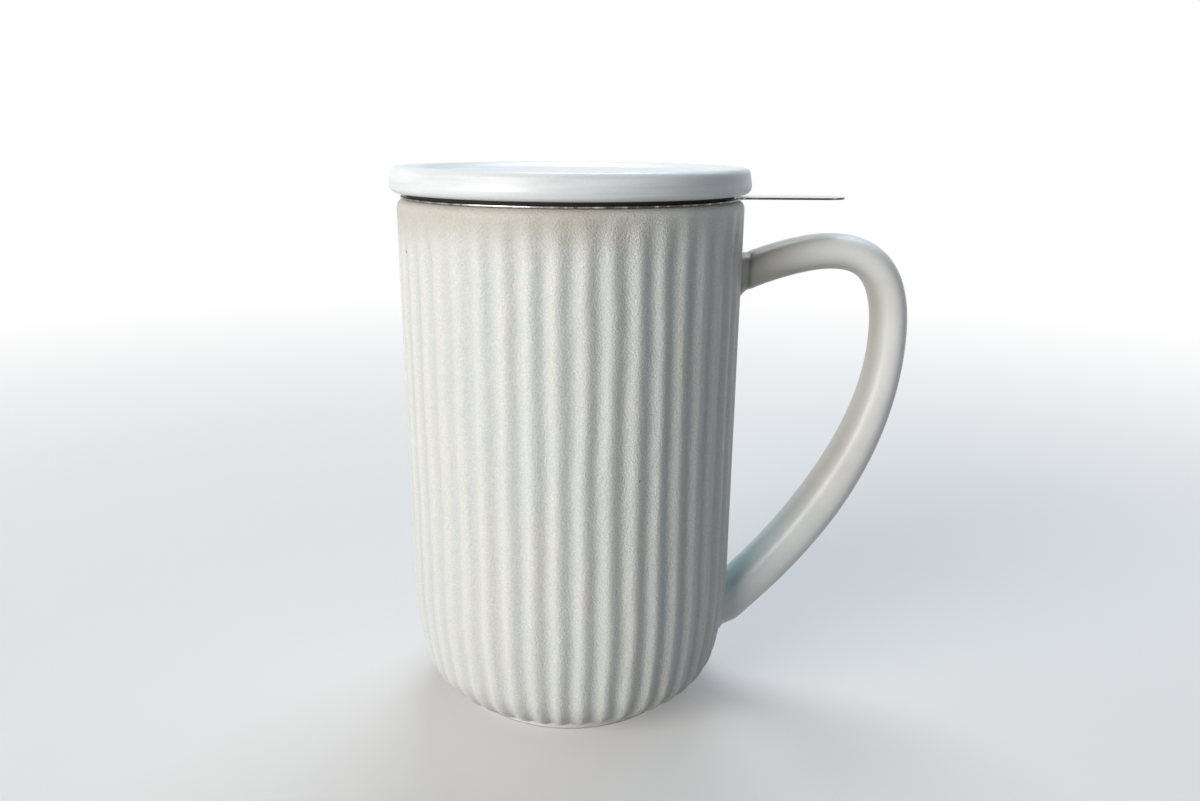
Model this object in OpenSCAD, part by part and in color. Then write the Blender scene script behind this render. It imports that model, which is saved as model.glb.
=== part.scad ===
// Lidded tea mug with an infuser basket.
// The origin lies on the mug's axis at the table, Z is up and the handle points along +X.

/* [Mug body] */
// Outer radius of the mug at its rim
rim_r = 41; // [36:0.5:48]
// Height of the rim above the table
body_h = 125.5; // [110:0.5:145]
// Thickness of the ceramic wall
wall = 3.8; // [3.2:0.1:4.6]
// Thickness of the mug's floor
floor_t = 4.3; // [3.6:0.1:6]
// Outward lean of the straight side, in degrees
side_draft = 0.46; // [0:0.02:1]
// Height at which the straight side gives way to the belly
side_z = 34; // [30:0.5:38]
// Radius of the slow belly curve
belly_r = 108; // [90:1:130]
// Radius of the tight curve that turns in towards the foot
base_r = 14.4; // [12.8:0.1:17]
// Steepness of that curve where it ends above the foot, in degrees
base_slope = 72.3; // [66:0.1:78]
// Radius of the rim's outer edge
rim_round = 2.2; // [1.6:0.1:2.4]
// Radius of the rim's inner edge
lip_round = 1; // [0.5:0.1:1.2]

/* [Foot ring] */
// Height of the foot ring
foot_h = 2.2; // [1.6:0.1:3]
// Width of the ring that the mug stands on
foot_w = 3; // [2:0.1:4]
// How far the foot ring stands in from the bottom edge of the flutes
foot_step = 1.5; // [1.2:0.1:3]

/* [Flutes] */
// Number of flutes round the body
flute_n = 44; // [24:1:52]
// Depth of a flute on the straight side
flute_depth = 0.7; // [0.3:0.05:1]
// Depth of a flute at the bottom edge, measured towards the axis
flute_foot_depth = 1; // [0.4:0.05:1.1]
// Angle from the handle to the nearest flute, in degrees
flute_phase = 1.65; // [0:0.05:8]
// Height of the plain band under the rim
band_h = 0.7; // [0.5:0.1:2]
// Height over which a flute runs out below the band
flute_runout = 12; // [8:0.5:14]

/* [Handle] */
// Reach of the handle's centre line beyond the wall
handle_reach = 36.7; // [30:0.1:44]
// Drop from the rim to the centre of the upper root
handle_root_drop = 17.8; // [15:0.1:22]
// Drop from the rim to the handle's outermost point
handle_bow_drop = 32; // [28:0.5:36]
// Height of the centre of the lower root
handle_foot_z = 22.4; // [20:0.1:26]
// Climb of the handle as it leaves the upper root, in degrees
handle_climb = 21.5; // [5:0.5:30]
// Slope of the handle where it meets the lower root, in degrees
handle_slope = 42.6; // [35:0.1:55]
// Slope at which the handle then enters the wall, in degrees
handle_entry = 10; // [4:1:24]
// Thickness of the handle along its upper run
handle_t_top = 8.4; // [6.5:0.1:10]
// Thickness of the handle along its lower run
handle_t_low = 11; // [9:0.1:12.5]
// Width of the handle across the hand
handle_w = 12.8; // [10:0.2:15]
// Extra thickness of the handle where it meets the wall
root_flare = 0.6; // [0.2:0.1:2]
// Length over which that flare dies away
root_flare_len = 5; // [3:0.5:10]

/* [Infuser] */
// Thickness of the steel sheet
sheet_t = 0.5; // [0.4:0.05:0.7]
// How far the flange stops short of the rim's outer edge
flange_inset = 1; // [0.6:0.1:1.4]
// Radius of the bend from the flange into the collar
bend_r = 1.2; // [0.8:0.1:1.6]
// Gap between the basket and the mug's wall at the basket's foot
basket_gap = 0.9; // [0.6:0.1:1.6]
// Depth of the basket below the flange
basket_h = 84; // [70:1:92]
// Height of the plain collar under the flange
collar_h = 12; // [9:0.5:18]
// Radius of the basket's bottom corner
basket_round = 3; // [2:0.1:4]
// Width of the lip that carries the base disc
lip_w = 2; // [1.5:0.1:3]
// Clearance round the base disc
base_gap = 0.1; // [0.05:0.05:0.2]
// Length of the tab beyond the flange
tab_l = 25; // [18:0.5:32]
// Width of the tab
tab_w = 10; // [8:0.5:16]
// Radius of the fillets between the tab and the flange
tab_fillet = 4; // [2:0.5:6]

/* [Perforations] */
// Diameter of a hole
hole_d = 1.8; // [1.2:0.1:2.2]
// Holes in each row round the wall
hole_n = 36; // [24:1:44]
// Distance between the rows of holes in the wall
hole_row = 8; // [6:0.5:12]
// Distance between the rings of holes in the base
hole_ring = 4.4; // [3.6:0.1:6]

/* [Lid] */
// How far the lid's edge stands out beyond the rim
lid_overhang = 1.5; // [0.5:0.1:2.5]
// Height of the lid from its seat to its crest
lid_h = 6.7; // [6:0.1:9]
// Height of the lid's widest line above its seat
lid_edge_h = 2.2; // [1.8:0.1:3]
// How far the lid's underside rises towards its edge
lid_bevel_h = 1; // [0.6:0.1:1.4]
// Inward lean of the lid's edge
lid_lean = 0.6; // [0.2:0.1:1]
// Radius of the lid's upper corner
lid_round = 1.6; // [1:0.1:2.2]
// Width of the raised border round the lid's top
border_w = 6; // [4:0.5:9]
// Depth of the recess inside the border
recess_d = 1.2; // [0.6:0.1:2]
// Radius of the fillets at the foot of the border
recess_round = 1.4; // [0.8:0.1:2]
// Depth of the locating ring under the lid
ring_h = 5; // [4:0.5:7]
// Width of the locating ring
ring_w = 3.4; // [2.6:0.1:5]
// Clearance between the locating ring and the collar
ring_gap = 0.6; // [0.4:0.1:1]
// Height of the hollow under the lid, above its seat
hollow_h = 1; // [0.6:0.1:1.6]

/* [Hidden] */
$fn = 96;

glaze = "#e6e7e1";
steel = "#b9bcbe";

// ---- Outline of the mug, seen from the side as [radius, height] ----

// Number of steps in the base curve, the belly curve and each rim curve
base_steps = 5;
belly_steps = 2;
round_steps = 3;

// Point on an arc, a degrees below the horizontal
function arc_point(c, r, a) = c + r * [cos(a), -sin(a)];
// Points along an arc between two such angles
function arc_run(c, r, a0, a1, n) = [for (i = [0 : n]) arc_point(c, r, a0 + (a1 - a0) * i / n)];
// Radius of the straight side at a height
function side_at(z) = rim_r - (body_h - z) * tan(side_draft);
// Smooth step from 0 at a to 1 at b
function ramp(x, a, b) = let (t = max(0, min(1, (x - a) / (b - a)))) t * t * (3 - 2 * t);

belly_c = [side_at(side_z), side_z] - belly_r * [cos(side_draft), -sin(side_draft)];
// The base curve ends at the foot's height and runs into the belly curve without a corner
base_c_z = foot_h + base_r * sin(base_slope);
base_turn = asin((belly_c.y - base_c_z) / (belly_r - base_r));
base_c = arc_point(belly_c, belly_r - base_r, base_turn);
base_z = arc_point(belly_c, belly_r, base_turn).y;
skirt_r = arc_point(base_c, base_r, base_slope).x;

// Heights where the plain patches behind the handle's roots begin and end
patch_margin = 6;
root_top_z = body_h - handle_root_drop;
patch_top_z = root_top_z - handle_t_top / 2 - root_flare;
patch_low_z = handle_foot_z + handle_t_low;

flute_top_z = body_h - band_h - flute_runout;
side_top_z = body_h - rim_round;
runout_steps = 4;

outline = concat(
    arc_run(base_c, base_r, base_slope, base_turn, base_steps),
    [for (i = [1 : belly_steps])
        arc_point(belly_c, belly_r, base_turn + (side_draft - base_turn) * i / belly_steps)],
    [for (z = [patch_low_z + patch_margin, patch_top_z - patch_margin, patch_top_z])
        [side_at(z), z]],
    [for (i = [0 : runout_steps - 1])
        let (z = flute_top_z + (side_top_z - flute_top_z) * i / runout_steps) [side_at(z), z]],
    arc_run([side_at(side_top_z) - rim_round, side_top_z], rim_round, 0, -90, round_steps)
);

// ---- Flutes ----

flute_points = 6;
ring_points = flute_n * flute_points;
// Half angle of the plain patches behind the handle, beyond its width by a spare angle,
// and the angle over which they blend out
patch_spare_a = 2;
patch_half_a = atan((handle_w / 2 + root_flare) / rim_r) + patch_spare_a;
patch_blend_a = 5;

// 1 inside the plain patches behind the handle, 0 away from them
function patch(a, z) = (1 - ramp(min(a, 360 - a), patch_half_a, patch_half_a + patch_blend_a))
    * max(ramp(z, patch_top_z - patch_margin, patch_top_z),
        ramp(z, foot_h + patch_margin, base_z)
        * (1 - ramp(z, patch_low_z, patch_low_z + patch_margin)));
// Depth of the flutes at a height: they grow shallow over the run-out, ever faster
runout_power = 1.5;
function runout(z) = pow(max(0, min(1, (z - flute_top_z) / flute_runout)), runout_power);
function flute_at(z) = (1 - runout(z))
    * (flute_foot_depth + (flute_depth - flute_foot_depth) * ramp(z, foot_h, base_z));
// Radius of the fluted skin at angle a, where the plain outline has the point p
function skin_r(p, a) = p.x - flute_at(p.y) * (1 - patch(a, p.y))
    * (0.5 + 0.5 * cos(flute_n * (a - flute_phase)));
function ring_angle(j) = (flute_phase + j * 360 / ring_points) % 360;

module fluted_skin() {
    n = ring_points;
    rings = len(outline);
    polyhedron(
        points = concat(
            [for (p = outline) for (j = [0 : n - 1])
                let (a = ring_angle(j), r = skin_r(p, a)) [r * cos(a), r * sin(a), p.y]],
            [[0, 0, foot_h], [0, 0, body_h]]
        ),
        faces = concat(
            [for (k = [0 : rings - 2]) for (j = [0 : n - 1]) for (half = [0, 1])
                let (a = k * n + j, b = k * n + (j + 1) % n)
                    half == 0 ? [a, a + n, b] : [b, a + n, b + n]],
            [for (j = [0 : n - 1]) [rings * n, j, (j + 1) % n]],
            [for (j = [0 : n - 1])
                let (a = (rings - 1) * n)
                    [rings * n + 1, a + (j + 1) % n, a + j]]
        )
    );
}

// ---- Mug body ----

foot_r = skirt_r - foot_step;
floor_z = foot_h + floor_t;
floor_turn = asin((base_c.y - floor_z) / (base_r - wall));
cavity_steps = 8;
lip_c = [side_at(body_h) - wall / cos(side_draft) + lip_round, body_h - lip_round];
over = 1;

// The inside of the mug: the outline set in by the wall, a flat floor and a rounded lip
module cavity() {
    rotate_extrude()
        polygon(concat(
            [[0, floor_z]],
            arc_run(base_c, base_r - wall, floor_turn, base_turn, cavity_steps),
            [for (i = [1 : belly_steps])
                arc_point(belly_c, belly_r - wall,
                    base_turn + (side_draft - base_turn) * i / belly_steps)],
            arc_run(lip_c, lip_round, 180, 270, round_steps),
            [[lip_c.x, body_h + over], [0, body_h + over]]
        ));
}

module mug_body() {
    color(glaze)
        difference() {
            union() {
                fluted_skin();
                difference() {
                    cylinder(r = foot_r, h = foot_h + over);
                    translate([0, 0, -over])
                        cylinder(r = foot_r - foot_w, h = foot_h + 3 * over);
                }
            }
            cavity();
        }
}

// ---- Handle ----

handle_sides = 24;
handle_steps = 16;
handle_bury = 4;
// Lengths of the control arms at the upper root, on both sides of the bow and at the lower root
handle_arms = [21.7, 24.7, 29.7, 22.1];

root_top = [side_at(root_top_z), root_top_z];
root_low = [side_at(handle_foot_z), handle_foot_z];
bow = [rim_r + handle_reach, body_h - handle_bow_drop];
climb_dir = [cos(handle_climb), sin(handle_climb)];
slope_dir = [cos(handle_slope), sin(handle_slope)];
entry_dir = [cos(handle_entry), sin(handle_entry)];

function bezier(p, t) = pow(1 - t, 3) * p[0] + 3 * pow(1 - t, 2) * t * p[1]
    + 3 * (1 - t) * t * t * p[2] + pow(t, 3) * p[3];

upper_curve = [root_top, root_top + handle_arms[0] * climb_dir, bow + [0, handle_arms[1]], bow];
lower_curve = [bow, bow - [0, handle_arms[2]], root_low + handle_arms[3] * slope_dir, root_low];

// The centre line, with a short run into the wall at both ends
handle_line = concat(
    [root_top - handle_bury * climb_dir],
    [for (i = [0 : handle_steps - 1]) bezier(upper_curve, i / handle_steps)],
    [for (i = [0 : handle_steps]) bezier(lower_curve, i / handle_steps)],
    [root_low - handle_bury * entry_dir]
);
handle_last = len(handle_line) - 1;

function line_dir(k) = let (d = handle_line[min(k + 1, handle_last)] - handle_line[max(k - 1, 0)])
    d / norm(d);
function flare_at(p) = root_flare * (1 - ramp(p.x, rim_r - handle_bury, rim_r + root_flare_len));
// Half thickness and half width of the section at station k: the handle thickens below the bow,
// between these shares of its line
swell = [0.5, 0.8];
function half_t(k) = (handle_t_top + (handle_t_low - handle_t_top)
    * ramp(k / handle_last, swell[0], swell[1]) + flare_at(handle_line[k])) / 2;
function half_w(k) = (handle_w + flare_at(handle_line[k])) / 2;
// Point of the rounded section, a little fuller than an ellipse
section_power = 0.85;
function full(c) = sign(c) * pow(abs(c), section_power);

module handle_sweep() {
    n = handle_sides;
    polyhedron(
        points = concat(
            [for (k = [0 : handle_last]) let (p = handle_line[k], d = line_dir(k))
                for (j = [0 : n - 1]) let (a = j * 360 / n, u = half_t(k) * full(cos(a)))
                    [p.x - d.y * u, half_w(k) * full(sin(a)), p.y + d.x * u]],
            [for (k = [0, handle_last]) [handle_line[k].x, 0, handle_line[k].y]]
        ),
        faces = concat(
            [for (k = [0 : handle_last - 1]) for (j = [0 : n - 1]) for (half = [0, 1])
                let (a = k * n + j, b = k * n + (j + 1) % n)
                    half == 0 ? [a, b, a + n] : [b, b + n, a + n]],
            [for (j = [0 : n - 1]) [(handle_last + 1) * n, (j + 1) % n, j]],
            [for (j = [0 : n - 1]) let (a = handle_last * n)
                [(handle_last + 1) * n + 1, a + j, a + (j + 1) % n]]
        )
    );
}

module mug_handle() {
    color(glaze)
        difference() {
            handle_sweep();
            rotate_extrude()
                polygon(concat([[0, foot_h]], outline, [[0, body_h]]));
        }
}

// ---- Infuser ----

seat_z = body_h;
flange_r = rim_r - flange_inset;
basket_z = seat_z - basket_h;
basket_r = side_at(basket_z) - wall / cos(side_draft) - basket_gap;
collar_z = seat_z - collar_h;
bend_c = [basket_r + bend_r, seat_z - bend_r];
bend_steps = 5;

module tab_outline() {
    tip_r = tab_w / 2;
    // Where the fillet circles touch the flange and the tab's sides
    fillet_y = tip_r + tab_fillet;
    fillet_x = sqrt(pow(flange_r + tab_fillet, 2) - pow(fillet_y, 2));
    translate([0, -tip_r])
        square([flange_r + tab_l - tip_r, tab_w]);
    translate([flange_r + tab_l - tip_r, 0])
        circle(r = tip_r);
    difference() {
        translate([0, -fillet_y])
            square([fillet_x, 2 * fillet_y]);
        for (side = [-1, 1])
            translate([fillet_x, side * fillet_y])
                circle(r = tab_fillet);
    }
}

// One pressing: a flat flange with its tab, and a collar drawn down from it
module infuser_rim() {
    color(steel)
        union() {
            rotate_extrude()
                polygon(concat(
                    arc_run(bend_c, bend_r, 180, 270, bend_steps),
                    [[flange_r, seat_z], [flange_r, seat_z + sheet_t]],
                    arc_run(bend_c, bend_r + sheet_t, 270, 180, bend_steps),
                    [[basket_r - sheet_t, collar_z], [basket_r, collar_z]]
                ));
            translate([0, 0, seat_z])
                linear_extrude(sheet_t)
                    difference() {
                        tab_outline();
                        circle(r = (bend_c.x + flange_r) / 2);
                    }
        }
}

corner_c = [basket_r - basket_round, basket_z + basket_round];
lip_in = corner_c.x - lip_w;
hole_rows = floor((collar_z - basket_z - basket_round - hole_row) / hole_row);
hole_sides = 16;

module wall_holes() {
    for (k = [1 : hole_rows])
        for (i = [0 : hole_n - 1])
            rotate((i + (k % 2) / 2) * 360 / hole_n)
                translate([basket_r, 0, basket_z + basket_round + (k - 0.5) * hole_row])
                    rotate([0, 90, 0])
                        cylinder(d = hole_d, h = 2 * basket_round, center = true, $fn = hole_sides);
}

// A rolled tube with a rounded bottom corner and a lip turned in under the base
module infuser_wall() {
    color(steel)
        difference() {
            rotate_extrude()
                polygon(concat(
                    [[basket_r, collar_z]],
                    arc_run(corner_c, basket_round, 0, 90, bend_steps),
                    [[lip_in, basket_z], [lip_in, basket_z + sheet_t]],
                    arc_run(corner_c, basket_round - sheet_t, 90, 0, bend_steps),
                    [[basket_r - sheet_t, collar_z]]
                ));
            wall_holes();
        }
}

base_disc_r = corner_c.x - base_gap;
base_z0 = basket_z + sheet_t;
ring_count = floor((lip_in - hole_d) / hole_ring);
ring_first = 6;

// A flat disc that lies on the wall's lip
module infuser_base() {
    color(steel)
        translate([0, 0, base_z0])
            difference() {
                cylinder(r = base_disc_r, h = sheet_t);
                translate([0, 0, -over])
                    cylinder(d = hole_d, h = sheet_t + 2 * over, $fn = hole_sides);
                for (k = [1 : ring_count])
                    for (i = [0 : ring_first * k - 1])
                        rotate(i * 360 / (ring_first * k))
                            translate([k * hole_ring, 0, -over])
                                cylinder(d = hole_d, h = sheet_t + 2 * over, $fn = hole_sides);
            }
}

// ---- Lid ----

lid_z = seat_z + sheet_t;
lid_r = rim_r + lid_overhang;
crest_z = lid_z + lid_h;
lid_seat_r = side_at(body_h) - rim_round - flange_inset / 2;
ring_r = basket_r - sheet_t - ring_gap;
ring_edge = 0.8;
edge_round = lid_edge_h - lid_bevel_h;
// Where the lid's lower edge leaves the bevel, in degrees below the horizontal
edge_turn = 75;
corner_x = lid_r - lid_lean - lid_round;
recess_r = lid_r - lid_lean - border_w - recess_round;
recess_z = crest_z - recess_d;
// Turn of the fillet that climbs out of the recess
recess_turn = acos(1 - recess_d / (2 * recess_round));

module lid() {
    color(glaze)
        rotate_extrude()
            polygon(concat(
                [[0, lid_z + hollow_h], [ring_r - ring_w, lid_z + hollow_h]],
                arc_run([ring_r - ring_w + ring_edge, lid_z - ring_h + ring_edge],
                    ring_edge, 180, 90, round_steps),
                arc_run([ring_r - ring_edge, lid_z - ring_h + ring_edge],
                    ring_edge, 90, 0, round_steps),
                [[ring_r, lid_z], [lid_seat_r, lid_z]],
                arc_run([lid_r - edge_round, lid_z + lid_edge_h],
                    edge_round, edge_turn, 0, round_steps),
                arc_run([corner_x, crest_z - lid_round], lid_round, 0, -90, 2 * round_steps),
                arc_run([recess_r + 2 * recess_round * sin(recess_turn), crest_z - recess_round],
                    recess_round, 270, 270 - recess_turn, round_steps),
                arc_run([recess_r, recess_z + recess_round],
                    recess_round, 90 - recess_turn, 90, round_steps),
                [[0, recess_z]]
            ));
}

mug_body();
mug_handle();
infuser_rim();
infuser_wall();
infuser_base();
lid();
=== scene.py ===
import math

import bmesh
import bpy
from mathutils import Matrix, Vector


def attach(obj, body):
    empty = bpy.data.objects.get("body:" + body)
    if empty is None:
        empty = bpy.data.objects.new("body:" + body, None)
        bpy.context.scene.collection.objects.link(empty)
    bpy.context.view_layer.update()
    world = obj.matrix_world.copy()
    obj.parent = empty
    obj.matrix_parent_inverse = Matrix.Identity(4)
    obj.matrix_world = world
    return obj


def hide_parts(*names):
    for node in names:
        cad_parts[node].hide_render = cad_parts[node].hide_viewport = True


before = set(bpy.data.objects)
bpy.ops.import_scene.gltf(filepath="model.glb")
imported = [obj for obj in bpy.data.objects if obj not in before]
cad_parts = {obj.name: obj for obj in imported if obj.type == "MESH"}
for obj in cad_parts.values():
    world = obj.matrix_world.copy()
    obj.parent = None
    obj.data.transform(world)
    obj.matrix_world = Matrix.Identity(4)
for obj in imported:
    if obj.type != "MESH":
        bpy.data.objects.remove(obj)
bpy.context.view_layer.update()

mm = 0.001
print("frame loaded:", ", ".join(sorted(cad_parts)))


# shared helpers

def smoothStep(x, start, end):
    t = max(0.0, min(1.0, (x - start) / (end - start)))
    return t * t * (3 - 2 * t)


def arcPoint(centre, radius, angle):
    # angle in degrees, measured downwards from the outward horizontal
    a = math.radians(angle)
    return (centre[0] + radius * math.cos(a), centre[1] - radius * math.sin(a))


def arcRun(centre, radius, start, end, steps):
    return [arcPoint(centre, radius, start + (end - start) * i / steps) for i in range(steps + 1)]


def softPath(corners, steps=6):
    # corners are (x, z, radius); each inner corner is rounded by its radius
    path = []
    for i, (x, z, radius) in enumerate(corners):
        here = Vector((x, z))
        if radius == 0 or i == 0 or i == len(corners) - 1:
            path.append((x, z))
            continue
        back = (Vector(corners[i - 1][:2]) - here).normalized()
        ahead = (Vector(corners[i + 1][:2]) - here).normalized()
        half = math.acos(max(-1.0, min(1.0, back.dot(ahead)))) / 2
        centre = here + (back + ahead).normalized() * (radius / math.sin(half))
        start = here + back * (radius / math.tan(half)) - centre
        end = here + ahead * (radius / math.tan(half)) - centre
        turn = math.atan2(start.x * end.y - start.y * end.x, start.dot(end))
        for k in range(steps + 1):
            a = turn * k / steps
            spun = (start.x * math.cos(a) - start.y * math.sin(a),
                    start.x * math.sin(a) + start.y * math.cos(a))
            path.append((centre.x + spun[0], centre.y + spun[1]))
    return path


def spread(path, longest):
    # adds points so that no step of the path is longer than the given length
    out = [path[0]]
    for a, b in zip(path, path[1:]):
        count = max(1, math.ceil(math.dist(a, b) / longest))
        out += [(a[0] + (b[0] - a[0]) * k / count, a[1] + (b[1] - a[1]) * k / count)
                for k in range(1, count + 1)]
    return out


def addObject(name, data):
    added = bpy.data.objects.new(name, data)
    bpy.context.scene.collection.objects.link(added)
    return added


def newPiece(name, points, faces):
    mesh = bpy.data.meshes.new(name)
    mesh.from_pydata([(x * mm, y * mm, z * mm) for x, y, z in points], [], faces)
    mesh.validate()
    return addObject(name, mesh)


def closedRings(rings):
    # quads between closed rings of the same count; each ring leads to the next
    count = len(rings[0])
    points = [p for ring in rings for p in ring]
    faces = [(k * count + j, k * count + (j + 1) % count,
              (k + 1) * count + (j + 1) % count, (k + 1) * count + j)
             for k in range(len(rings) - 1) for j in range(count)]
    return points, faces


def circle(radius, z, count):
    turns = [2 * math.pi * j / count for j in range(count)]
    return [(radius * math.cos(a), radius * math.sin(a), z) for a in turns]


def lathe(name, path, around):
    # path runs from one point on the axis to the other, with the solid on its left
    points = [(0, 0, path[0][1])]
    for x, z in path[1:-1]:
        points += circle(x, z, around)
    points.append((0, 0, path[-1][1]))
    last = len(points) - 1
    rows = len(path) - 2
    faces = []
    for j in range(around):
        k = (j + 1) % around
        faces.append((0, 1 + k, 1 + j))
        faces.append((last, 1 + (rows - 1) * around + j, 1 + (rows - 1) * around + k))
    for i in range(rows - 1):
        for j in range(around):
            k = (j + 1) % around
            a = 1 + i * around
            faces.append((a + j, a + k, a + around + k, a + around + j))
    return newPiece(name, points, faces)


def finishMesh(piece, sharpAngle):
    mesh = piece.data
    mesh.shade_smooth()
    mesh.set_sharp_from_angle(angle=math.radians(sharpAngle))
    mesh.update()


def faceOutward(piece, merge=None):
    data = bmesh.new()
    data.from_mesh(piece.data)
    if merge:
        bmesh.ops.remove_doubles(data, verts=data.verts, dist=merge)
    bmesh.ops.recalc_face_normals(data, faces=data.faces)
    data.to_mesh(piece.data)
    data.free()


def markPoints(piece, name, values):
    marks = piece.data.attributes.new(name, "FLOAT", "POINT")
    for mark, value in zip(marks.data, values):
        mark.value = value


def placePiece(piece, body, node):
    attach(piece, body)
    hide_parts(node)
    print("  piece", piece.name, "on", body, "with", len(piece.data.polygons), "faces")


# node helpers

def newTree(name, inputs):
    # inputs maps each label to its kind and its value
    tree = bpy.data.node_groups.new(name, "GeometryNodeTree")
    for side in ("INPUT", "OUTPUT"):
        tree.interface.new_socket("Geometry", in_out=side, socket_type="NodeSocketGeometry")
    for label, (kind, _) in inputs.items():
        tree.interface.new_socket(label, in_out="INPUT", socket_type="NodeSocket" + kind)
    return tree, tree.nodes.new("NodeGroupInput").outputs


def feed(tree, node, inputs):
    # inputs maps a socket's name or number to a link or a plain value
    for key, value in inputs.items():
        if isinstance(value, bpy.types.NodeSocket):
            tree.links.new(value, node.inputs[key])
        else:
            node.inputs[key].default_value = value


def addNode(tree, kind, inputs=None, **settings):
    node = tree.nodes.new(kind)
    for key, value in settings.items():
        setattr(node, key, value)
    feed(tree, node, inputs or {})
    return node


def calc(tree, operation, a, b=None, c=None):
    values = {i: v for i, v in enumerate((a, b, c)) if v is not None}
    return addNode(tree, "ShaderNodeMath", values, operation=operation).outputs[0]


def plus(tree, a, b):
    return calc(tree, "ADD", a, b)


def minus(tree, a, b):
    return calc(tree, "SUBTRACT", a, b)


def times(tree, a, b):
    return calc(tree, "MULTIPLY", a, b)


def mapRange(tree, value, fromMin, fromMax, toMin=0.0, toMax=1.0, kind="LINEAR"):
    return addNode(tree, "ShaderNodeMapRange",
                   {"Value": value, "From Min": fromMin, "From Max": fromMax,
                    "To Min": toMin, "To Max": toMax}, interpolation_type=kind).outputs[0]


def noise(tree, vector, scale, detail, roughness=0.5):
    return addNode(tree, "ShaderNodeTexNoise",
                   {"Vector": vector, "Scale": scale, "Detail": detail, "Roughness": roughness}).outputs[0]


def splitXYZ(tree, vector):
    return addNode(tree, "ShaderNodeSeparateXYZ", {0: vector}).outputs


def joinXYZ(tree, x=0.0, y=0.0, z=0.0):
    return addNode(tree, "ShaderNodeCombineXYZ", {"X": x, "Y": y, "Z": z}).outputs[0]


def vectorLength(tree, vector):
    return addNode(tree, "ShaderNodeVectorMath", {0: vector}, operation="LENGTH").outputs["Value"]


def aroundAxis(tree, radius, angle, height):
    return joinXYZ(tree, times(tree, radius, calc(tree, "COSINE", angle)),
                   times(tree, radius, calc(tree, "SINE", angle)), height)


def gridCells(tree, columns, rows):
    # a grid, whose points are numbered column by column, and the column and row of each point
    grid = addNode(tree, "GeometryNodeMeshGrid", {"Vertices X": columns, "Vertices Y": rows})
    index = addNode(tree, "GeometryNodeInputIndex").outputs[0]
    column = calc(tree, "FLOOR", calc(tree, "DIVIDE", index, rows))
    return grid.outputs["Mesh"], column, minus(tree, index, times(tree, column, rows))


def setPosition(tree, geometry, position):
    return addNode(tree, "GeometryNodeSetPosition", {"Geometry": geometry, "Position": position}).outputs[0]


def realCopies(tree, points, instance):
    copies = addNode(tree, "GeometryNodeInstanceOnPoints", {"Points": points, "Instance": instance})
    return addNode(tree, "GeometryNodeRealizeInstances", {"Geometry": copies.outputs[0]}).outputs[0]


def mergeNear(tree, geometry, distance):
    return addNode(tree, "GeometryNodeMergeByDistance",
                   {"Geometry": geometry, "Distance": distance}).outputs[0]


def endTree(tree, geometry, material):
    smooth = addNode(tree, "GeometryNodeSetShadeSmooth", {"Geometry": geometry})
    real = addNode(tree, "GeometryNodeRealizeInstances", {"Geometry": smooth.outputs[0]})
    finished = addNode(tree, "GeometryNodeSetMaterial",
                       {"Geometry": real.outputs[0], "Material": material})
    addNode(tree, "NodeGroupOutput", {0: finished.outputs[0]})


def bakeTree(piece, tree, inputs):
    modifier = piece.modifiers.new(tree.name, "NODES")
    modifier.node_group = tree
    names = {item.name: item.identifier for item in tree.interface.items_tree
             if item.in_out == "INPUT"}
    for label, (_, value) in inputs.items():
        modifier[names[label]] = value
    graph = bpy.context.evaluated_depsgraph_get()
    graph.update()
    baked = bpy.data.meshes.new_from_object(piece.evaluated_get(graph),
                                            preserve_all_data_layers=True, depsgraph=graph)
    piece.modifiers.clear()
    piece.data = baked
    baked.name = piece.name


# camera

cameraSettings = {
    "place": (7.18, -248.7, 140.04),  # mm
    "pitchDown": 14.54,  # degrees
    "roll": 0.41,  # degrees
    "lens": 30.8,
    "sensor": 36.0,
    "clip": (0.01, 20),
}


def buildCamera(s):
    data = bpy.data.cameras.new("studioCamera")
    data.lens = s["lens"]
    data.sensor_width = s["sensor"]
    data.clip_start, data.clip_end = s["clip"]
    camera = addObject("studioCamera", data)
    turn = (Matrix.Rotation(math.radians(90 - s["pitchDown"]), 4, "X")
            @ Matrix.Rotation(math.radians(s["roll"]), 4, "Z"))
    camera.matrix_world = Matrix.Translation(Vector(s["place"]) * mm) @ turn
    bpy.context.scene.camera = camera


buildCamera(cameraSettings)
print("camera set")


# glaze and steel

def newMaterial(name):
    material = bpy.data.materials.new(name)
    material.use_nodes = True
    tree = material.node_tree
    return material, tree, tree.nodes["Principled BSDF"]


def mixColour(tree, factor, first, second):
    return addNode(tree, "ShaderNodeMix", {0: factor, 6: first, 7: second}, data_type="RGBA").outputs[2]


def scaleColour(tree, colour, factor):
    return addNode(tree, "ShaderNodeVectorMath", {0: colour, "Scale": factor}, operation="SCALE").outputs[0]


def marked(tree, name):
    return addNode(tree, "ShaderNodeAttribute", attribute_name=name).outputs["Fac"]


def objectPlace(tree):
    # object coordinates, their parts, and the distance from the mug's axis
    place = addNode(tree, "ShaderNodeTexCoord").outputs["Object"]
    x, y, z = splitXYZ(tree, place)
    return place, x, y, z, vectorLength(tree, joinXYZ(tree, x, y))


def roughen(tree, surface, relief, distance, strength):
    bump = addNode(tree, "ShaderNodeBump", {"Height": relief, "Distance": distance, "Strength": strength})
    feed(tree, surface, {"Normal": bump.outputs[0]})


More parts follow.
